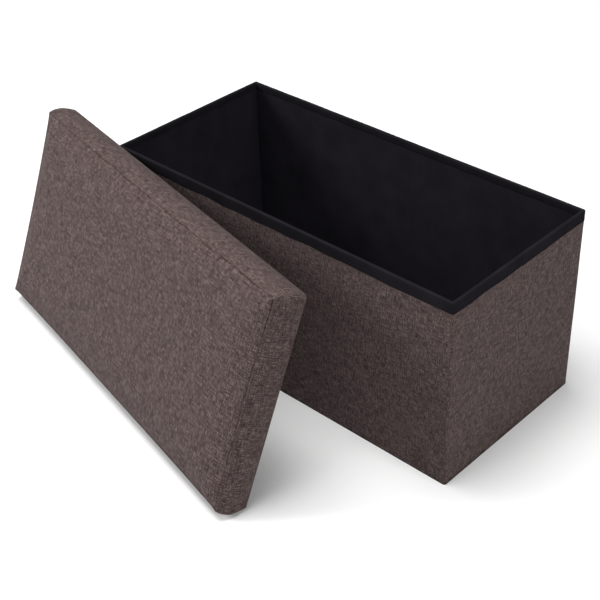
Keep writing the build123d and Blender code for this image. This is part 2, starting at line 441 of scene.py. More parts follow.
def plain_material(name, base, spot, cells, roughness, metallic=0.0):
    """A hidden material, such as fibreboard, foam or wire: one colour with fine spots."""
    material, tree, shader = new_material(name, roughness, base=base)
    shader.inputs["Metallic"].default_value = metallic
    place = wire(tree, "ShaderNodeTexCoord").outputs["Object"]
    noise = scaled_noise(tree, place, (cells, cells, cells), 4.0, 0.7)
    blend = wire(tree, "ShaderNodeMix", {"Factor": noise}, data_type="RGBA")
    blend.inputs["A"].default_value = (*base, 1.0)
    blend.inputs["B"].default_value = (*spot, 1.0)
    tree.links.new(blend.outputs["Result"], shader.inputs["Base Color"])
    add_bump(tree, shader, noise, 0.2 * MM, 0.5)
    return material


def cloth_kit():
    """The bench's materials by record slot, made once."""
    cloth = bpy.context.scene.bench_cloth
    makers = {
        "linen": lambda name: linen_material(name, cloth),
        "lining_felt": lambda name: felt_material(name, cloth.felt, 0.95, 0.0),
        "edge_binding": lambda name: felt_material(name, cloth.binding, 0.80, 3.0),
        "fibreboard": lambda name: plain_material(name, (0.42, 0.29, 0.18),
                                                  (0.30, 0.19, 0.11), 700.0, 0.8),
        "foam": lambda name: plain_material(name, (0.80, 0.77, 0.66), (0.68, 0.63, 0.5),
                                            900.0, 0.95),
        "staple_steel": lambda name: plain_material(name, (0.6, 0.6, 0.62),
                                                    (0.45, 0.45, 0.47), 1200.0, 0.35, 1.0),
    }
    return {slot: bpy.data.materials.get(f"bench_{slot}") or make(f"bench_{slot}")
            for slot, make in makers.items()}


def dress(piece, slot_name, *stands_for):
    """Gives a piece the material of its record slot and hides the CAD nodes it stands for."""
    piece.data.materials.append(cloth_kit()[slot_name])
    if stands_for:
        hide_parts(*stands_for)
    return piece


# ---------------------------------------------------------------- box walls
def outline():
    """The box's outline with the corner radius from the settings."""
    return Outline(HALF_X, HALF_Y, bpy.context.scene.bench_box.corner_radius)


class Run:
    """One length of cloth round the box: the one body that carries it or the two that it
    joins, the distances along the outline where it starts, turns and ends, the walls it
    stands for, and the distances between which it bends from the first body to the second."""

    def __init__(self, bodies, breaks, walls, bend=None):
        self.bodies, self.breaks, self.walls, self.bend = bodies, breaks, walls, bend


def left_fold():
    """Where the cloth bends at the fold line of the left end, and the two halves it joins."""
    plan, bend = outline(), bpy.context.scene.bench_box.bend
    halves = ("left_end_back_half", "left_end_front_half")
    return halves, [plan.left - bend, plan.left + bend]


def wall_runs():
    """The lengths of linen and binding. A corner's cover bends tightly, from the end of the
    long wall's board to the start of the end's board."""
    box, e = bpy.context.scene.bench_box, outline().ends
    lap, reach, slit = box.lap, box.reach, box.slit
    halves, fold = left_fold()
    return {
        "right_back": Run(("back_wall", "right_end_back_half"), [slit, e[1], e[2], e[2] + lap],
                          ("right_end_back_half",), [e[2] + BOARD_TURN, e[1] - 2 * BOARD_TURN]),
        "back": Run(("back_wall",), [e[2] + lap, e[3] - lap], ("back",)),
        "left_back": Run(("back_wall", "left_end_back_half"),
                         [e[3] - lap, e[3], e[4], e[4] + reach], ("left_end_back_half",),
                         [e[3] - BOARD_TURN, e[4] + 2 * BOARD_TURN]),
        "left_middle": Run(halves, [e[4] + reach, *fold, e[5] - reach], halves, fold),
        "left_front": Run(("front_wall", "left_end_front_half"),
                          [e[5] - reach, e[5], e[6], e[6] + lap], ("left_end_front_half",),
                          [e[6] + BOARD_TURN, e[5] - 2 * BOARD_TURN]),
        "front": Run(("front_wall",), [e[6] + lap, e[7] - lap], ("front",)),
        "right_front": Run(("front_wall", "right_end_front_half"),
                           [e[7] - lap, e[7], e[8], e[9] - slit], ("right_end_front_half",),
                           [e[7] - BOARD_TURN, e[8] + 2 * BOARD_TURN]),
    }


def lining_runs():
    """The lengths of lining, which meet in the inner corners."""
    e, slit = outline().ends, bpy.context.scene.bench_box.slit
    corner = [(e[k] + e[k + 1]) / 2 for k in (1, 3, 5, 7)]
    halves, fold = left_fold()
    return {
        "right_back": Run(("right_end_back_half",), [slit, e[1], corner[0]],
                          ("right_end_back_half",)),
        "back": Run(("back_wall",), [corner[0], e[2], e[3], corner[1]], ("back",)),
        "left_middle": Run(halves, [corner[1], e[4], *fold, e[5], corner[2]], halves, fold),
        "front": Run(("front_wall",), [corner[2], e[6], e[7], corner[3]], ("front",)),
        "right_front": Run(("right_end_front_half",), [corner[3], e[8], e[9] - slit],
                           ("right_end_front_half",)),
    }


def cover_depth(s, z):
    """Depth of the linen surface behind the box's outermost face: a constant, less a gentle
    ripple, plus a dip on the fold line of each end."""
    box = bpy.context.scene.bench_box
    plan = outline()
    from_fold = np.minimum(np.minimum(s, plan.ends[9] - s), np.abs(s - plan.left))
    dip = box.crease_dip * bump_at(from_fold, 2.4 * MM)
    run = plan.at(np.ravel(s))[0].sum(axis=-1).reshape(np.shape(s))
    return box.cover_depth - box.ripple * ripple(run, z, 11, 0.19) + dip


def attach(piece, run):
    """Rides on the run's one body; a piece that joins two bodies is baked where it stands and rides
    on neither.
    """
    if run.bend is None:
        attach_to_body(piece, run.bodies[0])
        return
    plan = outline()
    start, end = ((*plan.at(np.array([s]))[0][0], 0.0) for s in run.bend)
    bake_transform(piece)


def wall_cover(name, run):
    """Linen of one length of wall: the outline between its breaks, drawn up from the foot,
    where the cloth rolls in, to just under the rim."""
    plan = outline()
    s = spread(run.breaks, 9 * MM, RUN_CELLS)
    z = np.concatenate([FOOT_Z + np.array([0.0, 0.8, 2.0, 4.0]) * MM,
                        spread([FOOT_Z + 9 * MM, RIM_Z - 1.5 * MM], 9 * MM, 4)])
    roll = 0.5 * MM * np.clip(1 - (z - FOOT_Z) / (2.2 * MM), 0, 1) ** 2
    depth = cover_depth(s[None, :], z[:, None] + 0 * s) + roll[:, None]
    back = np.full_like(depth, BOARD_FACE - 0.05 * MM)
    weave = np.stack(np.broadcast_arrays(s[None, :], z[:, None]), axis=-1)
    parts = slab(plan.surface(s, depth, z[:, None]), plan.surface(s, back, z[:, None]), weave)
    piece = dress(make_object(f"{name}_linen", *parts), "linen", *(f"{w}_cover" for w in run.walls))
    attach(piece, run)


def flap_edge(s):
    """Height of the wavy lower edge of the binding's outer flap."""
    box = bpy.context.scene.bench_box
    return RIM_Z - FLAP_DROP - box.binding_wave * ripple(s, 0 * s, 23, 0.075)


def binding_rows(s):
    """Depth, height and inward direction of the edge binding at each s: up the outer flap from
    its wavy lower edge, over the rim as a flattened half round, and down inside."""
    box = bpy.context.scene.bench_box
    low = flap_edge(s)
    inner_low = RIM_Z - box.inner_drop - 0.7 * box.binding_wave * ripple(s, 0 * s, 29, 0.09)
    roll = 4.2 * MM
    up = np.array([0.0, 0.02, 0.08, 0.2, 0.4, 0.62, 0.82, 1.0])[:, None]
    outer_z = low + (RIM_Z - roll - low) * up
    tuck = box.binding_thick * np.array([0.85, 0.3, 0.05, 0, 0, 0, 0, 0])[:, None]
    sew = 0.28 * MM * bump_at(outer_z - low - 3.4 * MM, 1.1 * MM)
    outer = cover_depth(s[None, :] + 0 * outer_z, outer_z) - box.binding_thick + tuck + sew
    around = np.linspace(0, math.pi, 13)[1:-1][:, None]
    inner_depth = WALL + 0.05 * MM + 0.12 * MM * ripple(s, 0 * s, 31, 0.05)
    half, middle = (inner_depth - outer[-1]) / 2, (inner_depth + outer[-1]) / 2
    cosine, sine = np.cos(around), np.sin(around)
    roll_depth = middle - half * np.sign(cosine) * np.abs(cosine) ** 0.55
    roll_z = RIM_Z - roll + roll * np.abs(sine) ** 0.55
    down = np.array([0.0, 0.25, 0.55, 0.85, 0.97, 1.0])[:, None]
    inner_z = RIM_Z - roll + (inner_low - RIM_Z + roll) * down
    inside = inner_depth - box.binding_thick * np.array([0, 0, 0, 0, 0.3, 0.85])[:, None]
    depth = np.concatenate([outer, roll_depth, np.broadcast_to(inside, inner_z.shape)])
    height = np.concatenate([outer_z, np.broadcast_to(roll_z, (len(around), len(s))), inner_z])
    angle = np.concatenate([np.zeros((len(up), 1)), around, np.full((len(down), 1), math.pi)])
    return depth, height, np.cos(angle), -np.sin(angle)


def stitch_row(plan, s, depth, z, size):
    """A row of short stitches: at each s a small closed spindle, long along the outline, whose
    rings are scaled by the sine of the way round from tip to tip."""
    long, wide, proud = size
    tip = np.linspace(0, math.pi, 5)[:, None]
    turn = np.linspace(0, 2 * math.pi, 6, endpoint=False)[None, :]
    shape = np.stack([np.broadcast_to(-long / 2 * np.cos(tip), (5, 6)),
                      proud * (0.08 + np.sin(tip)) * np.cos(turn),
                      wide / 2 * (0.08 + np.sin(tip)) * np.sin(turn)], axis=-1)
    point, normal = plan.at(s)
    point = point - normal * depth[:, None]
    along = np.stack([-normal[:, 1], normal[:, 0]], axis=-1)
    flat = (point[:, None, None, :] + along[:, None, None, :] * shape[None, ..., :1]
            + normal[:, None, None, :] * shape[None, ..., 1:2])
    up = z[:, None, None, None] + shape[None, ..., 2:]
    points = np.concatenate([flat, up], axis=-1).reshape(-1, 3)
    index = np.arange(30).reshape(5, 6)
    one = np.concatenate([grid_quads(index, wrap=True), [index[0, [0, 5, 4, 1]]],
                          [index[0, [1, 4, 3, 2]]], [index[4, [0, 1, 4, 5]]],
                          [index[4, [1, 2, 3, 4]]]])
    quads = (one[None] + 30 * np.arange(len(s))[:, None, None]).reshape(-1, 4)
    return points, quads, points[:, :2]


def wall_binding(name, run):
    """Edge binding of one length of wall with its row of stitches."""
    box = bpy.context.scene.bench_box
    plan = outline()
    s = spread(run.breaks, 6 * MM, RUN_CELLS)
    depth, height, inward, upward = binding_rows(s)
    outer = plan.surface(s, depth, height)
    inner = plan.surface(s, depth + box.binding_thick * inward,
                         height + box.binding_thick * upward)
    rows = np.arange(len(depth))[:, None] * 3 * MM
    weave = np.stack(np.broadcast_arrays(s[None, :], rows), axis=-1)
    at = np.arange(run.breaks[0] + box.stitch_pitch / 2, run.breaks[-1], box.stitch_pitch)
    sewn = flap_edge(at) + 3.4 * MM
    proud = cover_depth(at, sewn) - box.binding_thick + 0.12 * MM
    stitches = stitch_row(plan, at, proud, sewn, (3.3 * MM, 0.7 * MM, 0.3 * MM))
    parts = join(slab(outer, inner, weave), stitches)
    piece = dress(make_object(f"{name}_edging", *parts), "edge_binding",
                  *(f"{w}_binding" for w in run.walls))
    attach(piece, run)


def wall_lining(name, run):
    """Black lining of one length of wall: a flat sheet with soft puckers that fade out under
    the binding. Where the right end opens, the sheet turns round the board's edge and runs
    out to the linen."""
    plan, box = outline(), bpy.context.scene.bench_box
    s = spread(run.breaks, 8 * MM, RUN_CELLS)
    z = spread([FOOT_Z, RIM_Z - 20 * MM, RIM_Z - 1.6 * MM], 9 * MM, 4)[:, None]
    fade = np.clip((RIM_Z - 14 * MM - z) / (30 * MM), 0, 1)
    from_bend = np.clip(np.abs(s - plan.left) / (12 * MM), 0, 1)
    pucker = 0.25 * MM * ripple(s[None, :], z, 41, 0.085) * fade * from_bend
    depth = WALL - 0.6 * MM + 0.1 * MM * np.minimum(fade * 4, 1) + pucker
    back = np.full_like(depth, LINING_BACK + 0.02 * MM)
    over = under = s
    first = s[0] == box.slit
    if first or s[-1] == plan.ends[9] - box.slit:
        turned = BOARD_FACE + 0.1 * MM + (WALL - 0.9 * MM - BOARD_FACE) * np.linspace(1, 0, 4)
        turned = np.broadcast_to(turned[::-1] if first else turned, (len(z), 4))
        edge = np.full(4, s[0] if first else s[-1])
        tucked = edge + (0.2 * MM if first else -0.2 * MM)
        order = slice(None, None, -1 if first else 1)
        over, under, depth, back = (
            np.concatenate(pair[order], axis=-1)
            for pair in ([s, edge], [s, tucked], [depth, turned], [back, turned]))
    weave = np.stack(np.broadcast_arrays(over[None, :], z), axis=-1)
    points, quads, weave = slab(plan.surface(over, depth, z), plan.surface(under, back, z), weave)
    piece = make_object(f"{name}_inner_cloth", points, quads[:, ::-1], weave)
    dress(piece, "lining_felt", *(f"{w}_lining" for w in run.walls))
    attach(piece, run)


# ---------------------------------------------------------------- rounded rectangles in rings
class RoundPlan:
    """A rectangle with round corners, as a grid of columns and rows whose border is also a
    closed loop. In each corner zone a point keeps its direction from the zone's inner corner,
    and its distance becomes the larger of its two offsets, which turns the square corner
    into a quarter round."""

    def __init__(self, half_x, half_y, radius, step, corner_cells):
        self.half, self.radius = (half_x, half_y), radius
        self.x, self.y = (spread([-h, -h + radius, h - radius, h], step, corner_cells)
                          for h in (half_x, half_y))
        columns, rows = len(self.x), len(self.y)
        i, j = np.arange(columns), np.arange(rows)
        self.loop_i = np.concatenate([i[:-1], 0 * j[:-1] + columns - 1, i[:0:-1], 0 * j[:-1]])
        self.loop_j = np.concatenate([0 * i[:-1], j[:-1], 0 * i[:-1] + rows - 1, j[:0:-1]])

    def place(self, x, y, inset):
        """Plan position of reference coordinates when the outline is set in by inset."""
        tight = np.maximum(self.radius - inset, self.radius * 0.25)
        squeezed, over = [], []
        for value, half in ((x, self.half[0]), (y, self.half[1])):
            straight = half - self.radius
            beyond = np.maximum(np.abs(value) - straight, 0.0) * tight / self.radius
            core = half - inset - tight
            inside = np.minimum(np.abs(value), straight) * core / straight
            squeezed.append((np.sign(value), inside))
            over.append(beyond)
        reach = np.hypot(over[0], over[1])
        keep = np.where(reach > 0, np.maximum(over[0], over[1]) / np.maximum(reach, 1e-12), 1.0)
        return tuple(sign * (inside + beyond * keep)
                     for (sign, inside), beyond in zip(squeezed, over))

    def rings(self, inset):
        """Loops at the given insets, one a row: x, y arrays of insets by loop points."""
        inset = np.asarray(inset)[:, None]
        return self.place(self.x[self.loop_i][None, :], self.y[self.loop_j][None, :], inset)

    def sheet(self, inset):
        """The whole grid at one inset: x, y arrays of rows by columns."""
        return self.place(self.x[None, :], self.y[:, None], inset)

    def loop_length(self):
        """Distance of each loop point from the loop's start."""
        x, y = (v[0] for v in self.rings([0.0]))
        step = np.hypot(np.diff(x), np.diff(y))
        return np.concatenate([[0.0], np.cumsum(step)])

    def close(self, rings, ring_map, caps=(), closed_rows=False):
        """Joins rings into a closed surface. caps holds up to two (grid, map, at_end) sheets,
        whose borders are the first or the last ring. closed_rows joins the last ring to the
        first."""
        count, loop = rings.shape[:2]
        index = np.arange(count * loop).reshape(count, loop)
        points, maps = [rings.reshape(-1, 3)], [ring_map.reshape(-1, 2)]
        table = np.concatenate([index, index[:1]]) if closed_rows else index
        quads = [grid_quads(table, wrap=True)]
        total = count * loop
        for grid, grid_map, at_end in caps:
            cap = np.full(grid.shape[:2], -1)
            cap[self.loop_j, self.loop_i] = index[-1 if at_end else 0]
            inner = cap < 0
            cap[inner] = total + np.arange(inner.sum())
            total += int(inner.sum())
            points.append(grid[inner])
            maps.append(grid_map[inner])
            faces = grid_quads(cap)
            quads.append(faces if at_end else faces[:, ::-1])
        return np.concatenate(points), np.concatenate(quads), np.concatenate(maps)

    def capped(self, rings, first, last):
        """Closes rings with a sheet at each end; the cloth's map is the plan itself."""
        return self.close(rings, rings[..., :2], [(first, first[..., :2], False),
                                                  (last, last[..., :2], True)])

    def flat_rings(self, profile):
        """Level rings at each (inset, height) row of a profile."""
        x, y = self.rings(profile[:, 0])
        return np.stack([x, y, np.broadcast_to(profile[:, 1:], x.shape)], axis=-1)

    def flat_sheet(self, inset, z):
        """The level sheet at one inset and height."""
        x, y = self.sheet(inset)
        return np.stack([x, y, np.full(x.shape, z)], axis=-1)


# ---------------------------------------------------------------- lid
def lid_plan():
    """The lid's outline grid."""
    return RoundPlan(LID_HALF_X, LID_HALF_Y, bpy.context.scene.bench_lid.corner_radius,
                     10 * MM, 6)


def profile_length(profile):
    """Distance along a profile of (inset, height) rows."""
    return np.concatenate([[0.0], np.cumsum(np.hypot(*np.diff(profile, axis=0).T))])


# Rows of (inset, height) in millimetres: the band from under the rail, up the side and into
# the top seam, and the top panel from the seam inwards.
BAND_PROFILE = MM * np.array([
    (5.6, 1.1), (4.2, 0.35), (2.4, 0.15), (1.1, 0.5), (0.3, 1.7), (-0.1, 4.0), (-0.9, 9.0),
    (-1.8, 16.0), (-2.3, 24.0), (-2.2, 32.0), (-1.6, 40.0), (-0.5, 46.5), (0.9, 51.0),
    (2.3, 54.0), (3.6, 55.8), (4.8, 56.3), (5.5, 55.2), (5.65, 52.6)])
TOP_PROFILE = MM * np.array([
    (6.0, 52.6), (6.15, 55.0), (6.7, 56.5), (7.8, 57.5), (9.6, 58.3), (12.0, 58.9), (15.5, 59.4),
    (20.0, 59.9)])
SKIN = 1.2 * MM         # thickness of the lid's covers
SEAM_ROW = 7            # row of the filled profile that is the top seam


def seam_softness(u, v):
    """How far the top seam opens out into a soft roll, 0 to 1: crisp along the upper edge and
    round its right corner, and softer along the ends, the lower edge and the left corner."""
    upper_right = np.clip((0.84 - v) / 0.2, 0, 1) * np.clip((u - 0.9) / 0.05, 0, 1)
    upper_left = np.clip((-0.80 - u) / 0.14, 0, 1)
    lower = np.clip((-0.9 - v) / 0.05, 0, 1)
    return 0.8 * np.maximum(np.maximum(upper_right, upper_left), lower)


def lid_shape(inset, z, x, y):
    """Points of the lid from plan positions: the edges pull in half way along near the seam,
    the lower side bellies out towards its right end, and the top panel rises as one less an
    exponential of the distance from each edge, multiplied over both directions."""
    lid = bpy.context.scene.bench_lid
    u, v = x / LID_HALF_X, y / LID_HALF_Y
    groove = np.clip((56.2 * MM - z) / (1.0 * MM), 0, 1) * bump_at(inset - 5.7 * MM, 0.7 * MM)
    z = z + groove * seam_softness(u, v) * (56.4 * MM - z)
    high = np.clip((z - 40 * MM) / (15 * MM), 0, 1)
    pulled_x = x - np.sign(x) * lid.pull_short * high * (1 - v ** 2) * np.abs(u) ** 3
    pulled_y = y - np.sign(y) * lid.pull_long * high * (1 - u ** 4) * np.abs(v) ** 3
    belly = lid.belly * np.clip((z - 6 * MM) / (20 * MM), 0, 1) * np.clip((u + 1) / 2, 0, 1)
    pulled_y = pulled_y - belly * np.clip(-v, 0, 1) ** 6
    soft = 26 * MM
    edge_x = np.maximum(LID_HALF_X - 6 * MM - np.abs(x), 0)
    edge_y = np.maximum(LID_HALF_Y - 6 * MM - np.abs(y), 0)
    rise = lid.crown * (1 - np.exp(-edge_x / soft)) * (1 - np.exp(-edge_y / soft))
    on_top = np.clip((inset - 5.5 * MM) / (6 * MM), 0, 1)
    return np.stack([pulled_x, pulled_y, z + rise * on_top], axis=-1)


def lid_rings(plan, profile):
    """Rings of the lid at each (inset, height) row of a profile."""
    x, y = plan.rings(profile[:, 0])
    inset, z = (np.broadcast_to(profile[:, k:k + 1], x.shape) for k in (0, 1))
    return lid_shape(inset, z, x, y)


def lid_sheet(plan, inset, z):
    """The sheet that closes a profile at the given inset and height."""
    x, y = plan.sheet(inset)
    return lid_shape(np.full(x.shape, inset), np.full(x.shape, z), x, y)


def to_world(points):
    """From the lid's own axes to the frame's."""
    return points @ LID_AXES.T + LID_ORIGIN


def filled(plan):
    """Cloth simulation of the lid's outer skin: the rails hold its lower rows, and pressure
    fills the rest. Returns how far each ring point and each sheet point moved."""
    lid = bpy.context.scene.bench_lid
    profile = np.concatenate([BAND_PROFILE[[5, 7, 8, 9, 10, 12, 14, 15]],
                              TOP_PROFILE[[4, 5, 6, 7]]])
    rings = lid_rings(plan, profile)
    sheet = lid_sheet(plan, *profile[-1])
    flat = np.zeros((*rings.shape[:2], 2))
    points, quads, _ = plan.close(rings, flat, [(sheet, np.zeros((*sheet.shape[:2], 2)), True)])
    moved = np.zeros_like(points)
    skin = make_object("lid_fill", points, quads)
    held = skin.vertex_groups.new(name="held")
    for row, z in enumerate(profile[:, 1]):
        grip = float(np.clip((44 * MM - z) / (14 * MM), 0.0, 1.0))
        first = row * rings.shape[1]
        held.add(list(range(first, first + rings.shape[1])), grip, "REPLACE")
    cloth = skin.modifiers.new("fill", "CLOTH")
    cloth.settings.use_pressure = True
    cloth.settings.uniform_pressure_force = lid.pressure
    cloth.settings.vertex_group_mass = "held"
    cloth.settings.effector_weights.gravity = 0.0
    cloth.point_cache.frame_start, cloth.point_cache.frame_end = 1, 20
    for step in range(1, 21):
        bpy.context.scene.frame_set(step)
    shown = skin.evaluated_get(bpy.context.evaluated_depsgraph_get())
    after = np.empty(len(points) * 3)
    shown.data.vertices.foreach_get("co", after)
    moved = after.reshape(-1, 3) - points
    bpy.data.objects.remove(skin)
    bpy.context.scene.frame_set(1)
    far = np.linalg.norm(moved, axis=1, keepdims=True)
    moved *= np.tanh(far / lid.fill_cap) * lid.fill_cap / np.maximum(far, 1e-9)
    count, loop = rings.shape[:2]
    ring_move = moved[:count * loop].reshape(count, loop, 3)
    sheet_move = np.zeros_like(sheet)
    sheet_move[plan.loop_j, plan.loop_i] = ring_move[-1]
    border = np.zeros(sheet.shape[:2], bool)
    border[plan.loop_j, plan.loop_i] = True
    sheet_move[~border] = moved[count * loop:]
    return profile_length(profile), ring_move, sheet_move


def between(at, known, values):
    """Rows of values at the distances at, straight between the known ones."""
    low = np.clip(np.searchsorted(known, at) - 1, 0, len(known) - 2)
    share_of = np.clip((at - known[low]) / (known[low + 1] - known[low]), 0, 1)[:, None, None]
    return values[low] * (1 - share_of) + values[low + 1] * share_of


def corner_groove(rings):
    """Moves ring points inwards along a narrow upright line at each corner, where the band's
    lengths are sewn together."""
    lid = bpy.context.scene.bench_lid
    x, y = np.abs(rings[..., 0]), np.abs(rings[..., 1])
    off = np.abs((LID_HALF_X - x) - (LID_HALF_Y - y)) / math.sqrt(2)
    at_corner = (x > LID_HALF_X - 30 * MM) & (y > LID_HALF_Y - 30 * MM)
    push = 0.8 * lid.seam_depth * bump_at(off, 1.3 * MM) * at_corner
    out = np.sign(rings[..., :2]) / math.sqrt(2)
    rings[..., :2] -= out * push[..., None]
    return rings


def inner_skin(profile, thick):
    """A profile set off towards the lid's inside by a thickness, at right angles to itself."""
    along = np.gradient(profile, axis=0)
    along /= np.linalg.norm(along, axis=1, keepdims=True)
    return profile + thick * np.stack([along[:, 1], -along[:, 0]], axis=1)


def build_lid_covers():
    """The filled band and top panel, each a thin closed skin, and the foam inside them."""
    plan = lid_plan()
    known, ring_move, sheet_move = filled(plan)
    seam_at = known[SEAM_ROW]
    band_at = profile_length(BAND_PROFILE) - profile_length(BAND_PROFILE)[5]
    band_at = np.minimum(band_at * seam_at / band_at[15], seam_at)
    top_at = profile_length(TOP_PROFILE) - profile_length(TOP_PROFILE)[2]
    top_at = seam_at + np.maximum(top_at, 0) * (known[-1] - seam_at) / top_at[-1]
    around = plan.loop_length()

    outer = corner_groove(lid_rings(plan, BAND_PROFILE)) + between(band_at, known, ring_move)
    back = inner_skin(BAND_PROFILE, SKIN)[1:-1]
    inner = lid_rings(plan, back) + between(band_at[1:-1], known, ring_move)
    rings = np.concatenate([outer, inner[::-1]])
    up = np.concatenate([band_at, band_at[1:-1][::-1]])
    weave = np.stack(np.broadcast_arrays(around[None, :], up[:, None]), axis=-1)
    points, quads, weave = plan.close(rings, weave, closed_rows=True)
    band = make_object("lid_band_cover", to_world(points), quads, weave)
    finish_lid_piece(band, "linen", LID_BANDS)

    outer = lid_rings(plan, TOP_PROFILE) + between(top_at, known, ring_move)
    outer[-1] += sheet_move[plan.loop_j, plan.loop_i] - between(top_at[-1:], known, ring_move)[0]
    sheet = lid_sheet(plan, *TOP_PROFILE[-1]) + sheet_move
    back = np.concatenate([TOP_PROFILE[:1] + [SKIN * 1.1, 0.0],
                           TOP_PROFILE[2:] + [0.6 * SKIN, -SKIN]])
    inner = lid_rings(plan, back) + between(top_at[[0, 2, 3, 4, 5, 6, 7]], known, ring_move)
    under = lid_sheet(plan, *back[-1]) + sheet_move
    inner[-1] = under[plan.loop_j, plan.loop_i]
    points, quads, weave = plan.capped(np.concatenate([inner[::-1], outer]), under, sheet)
    top = make_object("lid_top_cover", to_world(points), quads, weave)
    finish_lid_piece(top, "linen", ("lid_top_panel",))

    deck_top = LID_RECESS + 5 * MM
    foam_profile = MM * np.array([(8.0, 0), (5.0, 0.3), (4.4, 2.0), (4.4, 10.0), (6.5, 17.0),
                                  (9.0, 20.5), (13.0, 22.5), (20.0, 24.0)])
    foam_profile[:, 1] += deck_top
    rings = lid_rings(plan, foam_profile)
    sheet = lid_sheet(plan, *foam_profile[-1]) + sheet_move
    sheet[..., 2] -= 1.5 * MM
    sheet[plan.loop_j, plan.loop_i] = rings[-1]
    floor = lid_sheet(plan, *foam_profile[0])
    floor[..., 2] = deck_top
    points, quads, weave = plan.capped(rings, floor, sheet)
    foam = make_object("lid_foam", to_world(points), quads, weave)
    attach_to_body(dress(foam, "foam", "lid_foam_pad"), "lid")


def finish_lid_piece(piece, slot_name, nodes):
    """Smooths a lid cover, dresses it and lets it move with the lid."""
    smooth = piece.modifiers.new("smooth", "SUBSURF")
    smooth.levels = smooth.render_levels = 1
    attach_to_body(dress(piece, slot_name, *nodes), "lid")


def build_lid_underside():
    """Black lining of the lid: over the rails' lower edges, up their inner faces, round into
    the recess and across the deck board, with soft puckers."""
    plan = lid_plan()
    ceiling = (LID_RECESS - 0.7 * MM) / MM
    profile = MM * np.array([
        (2.2, 0.5), (2.9, -0.15), (4.2, -0.35), (5.7, -0.1), (6.5, 0.9), (6.8, 3.0), (6.8, 10.0),
        (6.8, 18.0), (7.0, ceiling - 3.0), (8.0, ceiling - 0.9), (10.5, ceiling - 0.1),
        (16.0, ceiling)])
    thick = 0.55 * MM
    hidden = inner_skin(profile, -thick)[1:]
    rings = np.concatenate([plan.flat_rings(hidden)[::-1], plan.flat_rings(profile)])
    shown, back = (plan.flat_sheet(*rows[-1]) for rows in (profile, hidden))
    x, y = shown[..., 0], shown[..., 1]
    edge = np.minimum(LID_HALF_X - np.abs(x), LID_HALF_Y - np.abs(y))
    pucker = 0.5 * MM * (ripple(x, y, 53, 0.08) - 1.0)
    shown[..., 2] += pucker * np.clip((edge - 16 * MM) / (20 * MM), 0, 1)
    points, quads, weave = plan.capped(rings, back, shown)
    tray = make_object("lid_inner_cloth", to_world(points), quads[:, ::-1], weave)
    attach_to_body(dress(tray, "lining_felt", "lid_lining"), "lid")


# ---------------------------------------------------------------- bottom and base board
def build_hem():
    """Turned-up linen hem under the walls: a rounded bar carried round the outline."""
    plan = outline()
    e = plan.ends
    s = spread(list(e), 9 * MM, 6)[:-1]
    turn = np.linspace(0, 2 * math.pi, 10, endpoint=False)[:, None]
    middle, half = (CLOTH_TOP + HEM_TOP) / 2, (HEM_TOP - CLOTH_TOP) / 2
    depth = (1.35 - 0.72 * np.sign(np.cos(turn)) * np.abs(np.cos(turn)) ** 0.6) * MM
    z = middle + half * np.sign(np.sin(turn)) * np.abs(np.sin(turn)) ** 0.6
    shape = (len(turn), len(s))
    points = plan.surface(s, np.broadcast_to(depth, shape), np.broadcast_to(z, shape))
    index = np.arange(points.shape[0] * points.shape[1]).reshape(shape)
    table = np.concatenate([index, index[:1]])
    weave = np.stack(np.broadcast_arrays(s[None, :], z), axis=-1).reshape(-1, 2)
    piece = make_object("bottom_hem_linen", points.reshape(-1, 3),
                        grid_quads(table, wrap=True)[:, ::-1], weave)
    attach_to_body(dress(piece, "linen", "bottom_hem"), "front_wall")


def build_base_sleeve():
    """Sleeve of the base board: a flat bag with a rounded edge, drawn a little past the
    board's ends, with soft puckers that only rise."""
    low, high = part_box("base_board_sleeve")
    plan = RoundPlan(high.x + 0.5 * MM, high.y + 0.2 * MM, 1.0 * MM, 12 * MM, 3)
    middle, half = (low.z + high.z) / 2, (high.z - low.z) / 2
    turn = np.linspace(-math.pi / 2, math.pi / 2, 9)
    inset = 0.25 * MM * (1 - np.abs(np.cos(turn)) ** 0.7)
    profile = np.stack([inset, middle + half * np.sin(turn)], axis=1)
    under, over = profile[0, 1], profile[-1, 1]
    flat_from, flat_to = 3.0 * MM, 6.5 * MM
    profile = np.concatenate([[(flat_to, under), (flat_from, under)], profile,
                              [(flat_from, over), (flat_to, over)]])
    bottom, top = (plan.flat_sheet(flat_to, z) for z in (under, over))
    x, y = top[..., 0], top[..., 1]
    from_edge = np.minimum(high.x - np.abs(x), high.y - np.abs(y))
    edge = np.clip((from_edge - 7 * MM) / (15 * MM), 0, 1)
    top[..., 2] += 0.12 * MM * np.maximum(1.2 + ripple(x, y, 61, 0.07), 0) * edge
    points, quads, weave = plan.capped(plan.flat_rings(profile), bottom, top)
    piece = make_object("base_board_bag", points, quads, weave)
    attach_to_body(dress(piece, "lining_felt", "base_board_sleeve"), "base_panel")


# ---------------------------------------------------------------- operators
class BENCH_OT_wall_covers(bpy.types.Operator):
    """Linen covers of the six wall panels"""
    bl_idname = "bench.wall_covers"
    bl_label = "Wall Covers"

    def execute(self, context):
        for name, run in wall_runs().items():
            wall_cover(name, run)
        return {"FINISHED"}


class BENCH_OT_bindings(bpy.types.Operator):
    """Black stitched binding over the rim of each wall panel"""
    bl_idname = "bench.bindings"
    bl_label = "Rim Bindings"

    def execute(self, context):
        for name, run in wall_runs().items():
            wall_binding(name, run)
        return {"FINISHED"}


class BENCH_OT_linings(bpy.types.Operator):
    """Black lining inside each wall panel"""
    bl_idname = "bench.linings"
    bl_label = "Wall Linings"

    def execute(self, context):
        for name, run in lining_runs().items():
            wall_lining(name, run)
        return {"FINISHED"}


class BENCH_OT_bottom(bpy.types.Operator):
    """Bottom hem and the base board's sleeve"""
    bl_idname = "bench.bottom"
    bl_label = "Bottom"

    def execute(self, context):
        build_hem()
        build_base_sleeve()
        return {"FINISHED"}


